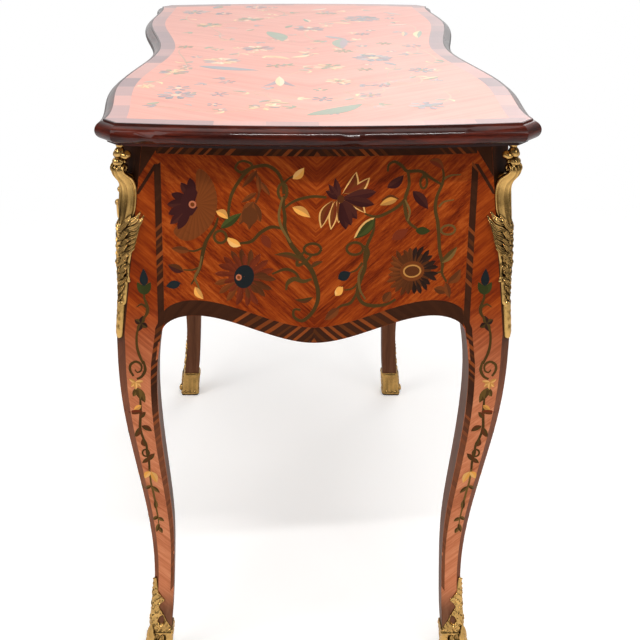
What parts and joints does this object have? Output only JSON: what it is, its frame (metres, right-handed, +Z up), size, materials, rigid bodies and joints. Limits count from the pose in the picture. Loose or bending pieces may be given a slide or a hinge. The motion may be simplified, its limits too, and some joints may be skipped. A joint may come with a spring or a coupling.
{
  "type": "writing desk",
  "caption": "Serpentine writing desk on cabriole legs, with marquetry top and frieze, drawers with drop handles, and gilt corner mounts and shoes.",
  "frame": {"origin": "on the floor under the middle of the desk", "axes": "+X along the length, -Y towards the drawer side, +Z up"},
  "size_m": [1.0948, 0.5278, 0.78],
  "materials": {
    "top_marquetry": "tulipwood veneer with floral marquetry under gloss polish",
    "top_crossband": "kingwood crossbanding under gloss polish",
    "mahogany_edge": "dark red mahogany, french polished",
    "tulipwood": "tulipwood veneer with marquetry under gloss polish",
    "kingwood": "kingwood veneer under gloss polish",
    "leg_wood": "tulipwood and kingwood veneer under gloss polish",
    "drawer_veneer": "tulipwood veneer with marquetry under gloss polish",
    "drawer_lining": "plain oak, waxed",
    "secondary_wood": "plain oak, unfinished",
    "ormolu": "antique gilt bronze, burnished on the high parts",
    "lock_steel": "drawn steel",
    "steel_screw": "bright steel"
  },
  "bodies": {
    "carcass": {"top_field_veneer": "top_marquetry", "top_crossbanding": "top_crossband", "top_core": "secondary_wood", "moulding_end_right": "mahogany_edge", "moulding_end_left": "mahogany_edge", "moulding_front": "mahogany_edge", "moulding_back": "mahogany_edge", "moulding_corners": "mahogany_edge", "end_apron_right": "tulipwood", "end_apron_left": "tulipwood", "back_apron": "tulipwood", "front_top_rail": "kingwood", "front_rail_left": "kingwood", "front_rail_right": "kingwood", "front_rail_middle": "kingwood", "partition_left": "kingwood", "partition_right": "kingwood", "drawer_runners": "secondary_wood", "drawer_guides": "secondary_wood", "drawer_kickers": "secondary_wood", "drawer_stops": "secondary_wood", "top_blocks": "secondary_wood", "top_screws": "steel_screw", "leg_back_right": "leg_wood", "corner_mount_back_right": "ormolu", "sabot_back_right": "ormolu", "leg_back_left": "leg_wood", "corner_mount_back_left": "ormolu", "sabot_back_left": "ormolu", "leg_front_right": "leg_wood", "corner_mount_front_right": "ormolu", "sabot_front_right": "ormolu", "leg_front_left": "leg_wood", "corner_mount_front_left": "ormolu", "sabot_front_left": "ormolu"},
    "drawer_left": {"drawer_left_front": "drawer_veneer", "drawer_left_sides": "drawer_lining", "drawer_left_back": "drawer_lining", "drawer_left_bottom": "drawer_lining", "drawer_left_lock": "lock_steel", "drawer_left_escutcheon": "ormolu", "drawer_left_pull_posts": "ormolu"},
    "bail_left": {"drawer_left_bail": "ormolu"},
    "drawer_right": {"drawer_right_front": "drawer_veneer", "drawer_right_sides": "drawer_lining", "drawer_right_back": "drawer_lining", "drawer_right_bottom": "drawer_lining", "drawer_right_lock": "lock_steel", "drawer_right_escutcheon": "ormolu", "drawer_right_pull_posts": "ormolu"},
    "bail_right": {"drawer_right_bail": "ormolu"},
    "drawer_middle": {"drawer_middle_front": "drawer_veneer", "drawer_middle_sides": "drawer_lining", "drawer_middle_back": "drawer_lining", "drawer_middle_bottom": "drawer_lining", "drawer_middle_lock": "lock_steel", "drawer_middle_escutcheon": "ormolu", "drawer_middle_pull_posts": "ormolu"},
    "bail_middle": {"drawer_middle_bail": "ormolu"}
  },
  "joints": [
    {"name": "drawer_left_slide", "type": "slide", "parent": "carcass", "child": "drawer_left", "axis": [0, -1, 0], "range_m": [0, 0.3]},
    {"name": "drawer_middle_slide", "type": "slide", "parent": "carcass", "child": "drawer_middle", "axis": [0, -1, 0], "range_m": [0, 0.28]},
    {"name": "drawer_right_slide", "type": "slide", "parent": "carcass", "child": "drawer_right", "axis": [0, -1, 0], "range_m": [0, 0.3]},
    {"name": "drawer_left_bail_swing", "type": "hinge", "parent": "drawer_left", "child": "bail_left", "pos_m": [-0.33696, -0.25121, 0.6445], "axis": [-0.9985, 0.0545, 0], "range_deg": [0, 100]},
    {"name": "drawer_middle_bail_swing", "type": "hinge", "parent": "drawer_middle", "child": "bail_middle", "pos_m": [0, -0.21541, 0.686], "axis": [-1, 0, 0], "range_deg": [0, 100]},
    {"name": "drawer_right_bail_swing", "type": "hinge", "parent": "drawer_right", "child": "bail_right", "pos_m": [0.33696, -0.25121, 0.6445], "axis": [-0.9985, -0.0545, 0], "range_deg": [0, 100]}
  ]
}
